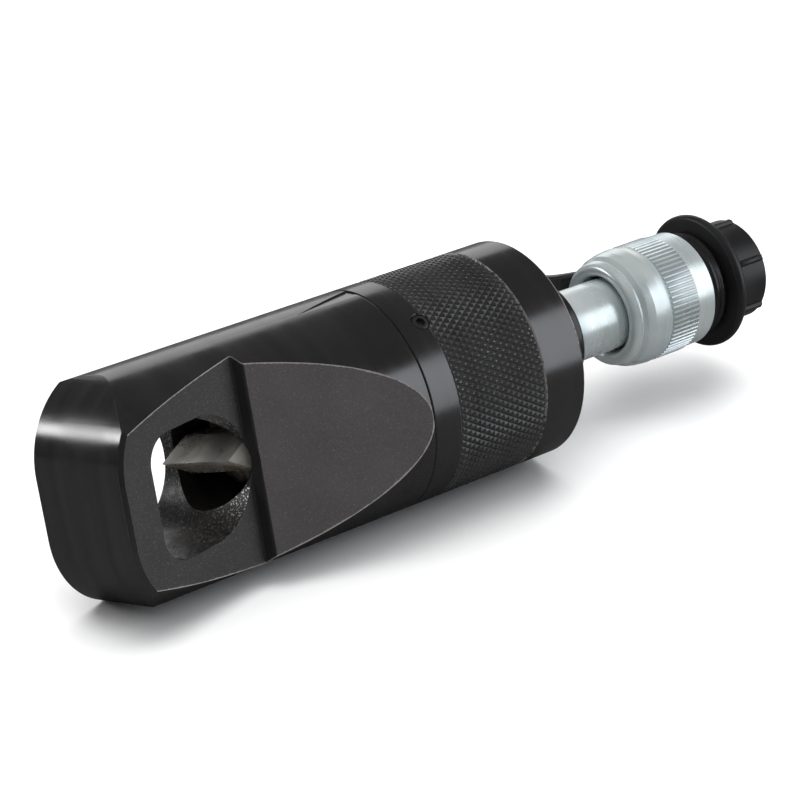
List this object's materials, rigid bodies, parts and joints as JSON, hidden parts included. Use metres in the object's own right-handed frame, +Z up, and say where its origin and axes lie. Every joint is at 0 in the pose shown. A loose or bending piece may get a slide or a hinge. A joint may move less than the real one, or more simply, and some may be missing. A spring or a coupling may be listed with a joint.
{
  "type": "hydraulic nut splitter",
  "caption": "Cylindrical hydraulic nut splitter: windowed slant head with a wedge chisel, screwed-on barrel, spring-return ram and quick coupler with tethered dust cap.",
  "frame": {"origin": "middle of the tool's length and width, on the surface that it lies on", "axes": "+X along the ram axis from the head to the coupler; +Z up as the tool lies; the open jaw face looks toward -Y and slightly up"},
  "size_m": [0.2442, 0.064, 0.0639],
  "materials": {
    "black_oxide": "black-oxide turned and milled alloy steel",
    "tool_steel": "ground and hardened tool steel",
    "spring_steel": "oil-blacked spring steel",
    "seal_rubber": "nitrile rubber",
    "seal_polyurethane": "cast polyurethane",
    "wear_polymer": "phenolic fabric composite",
    "bronze": "sintered bronze",
    "zinc": "clear bright zinc plate over steel",
    "cap_plastic": "satin black moulded plastic",
    "strap_rubber": "glossy black elastomer"
  },
  "bodies": {
    "body": {"head": "black_oxide", "head_lock_screw": "spring_steel", "head_o_ring": "seal_rubber", "rod_guide_bush": "bronze", "rod_wiper": "seal_rubber", "barrel": "black_oxide", "spring_seat": "spring_steel", "return_spring": "spring_steel", "port_washer": "zinc", "coupler_body": "zinc", "valve_guide": "zinc", "valve_spring": "spring_steel", "dust_strap": "strap_rubber"},
    "ram": {"ram": "tool_steel", "chisel": "tool_steel", "chisel_lock_screw": "spring_steel", "piston_seal": "seal_polyurethane", "piston_wear_ring": "wear_polymer"},
    "snap_ring": {"collar_snap_ring": "spring_steel"},
    "collar": {"coupler_collar": "zinc"},
    "poppet": {"valve_poppet": "tool_steel", "valve_o_ring": "seal_rubber"},
    "cap_loop": {"strap_loop": "strap_rubber"},
    "cap": {"dust_cap": "cap_plastic", "cap_o_ring": "seal_rubber"}
  },
  "joints": [
    {"name": "ram_slide", "type": "slide", "parent": "body", "child": "ram", "axis": [-1, 0, 0], "range_m": [0, 0.026], "stiffness_N_per_m": 6000, "springref_m": -0.015, "deforming": ["return_spring"]},
    {"name": "collar_slide", "type": "slide", "parent": "body", "child": "snap_ring", "axis": [-1, 0, 0], "range_m": [0, 0.0174]},
    {"name": "collar_spin", "type": "hinge", "parent": "snap_ring", "child": "collar", "pos_m": [0.08, 0, 0.03196], "axis": [1, 0, 0], "continuous": true},
    {"name": "poppet_slide", "type": "slide", "parent": "body", "child": "poppet", "axis": [-1, 0, 0], "range_m": [0, 0.004], "stiffness_N_per_m": 1500, "springref_m": -0.003, "deforming": ["valve_spring"]},
    {"name": "cap_pull", "type": "slide", "parent": "body", "child": "cap_loop", "axis": [1, 0, 0], "range_m": [0, 0.022]},
    {"name": "cap_turn", "type": "hinge", "parent": "cap_loop", "child": "cap", "pos_m": [0.107, 0, 0.03196], "axis": [1, 0, 0], "continuous": true}
  ]
}
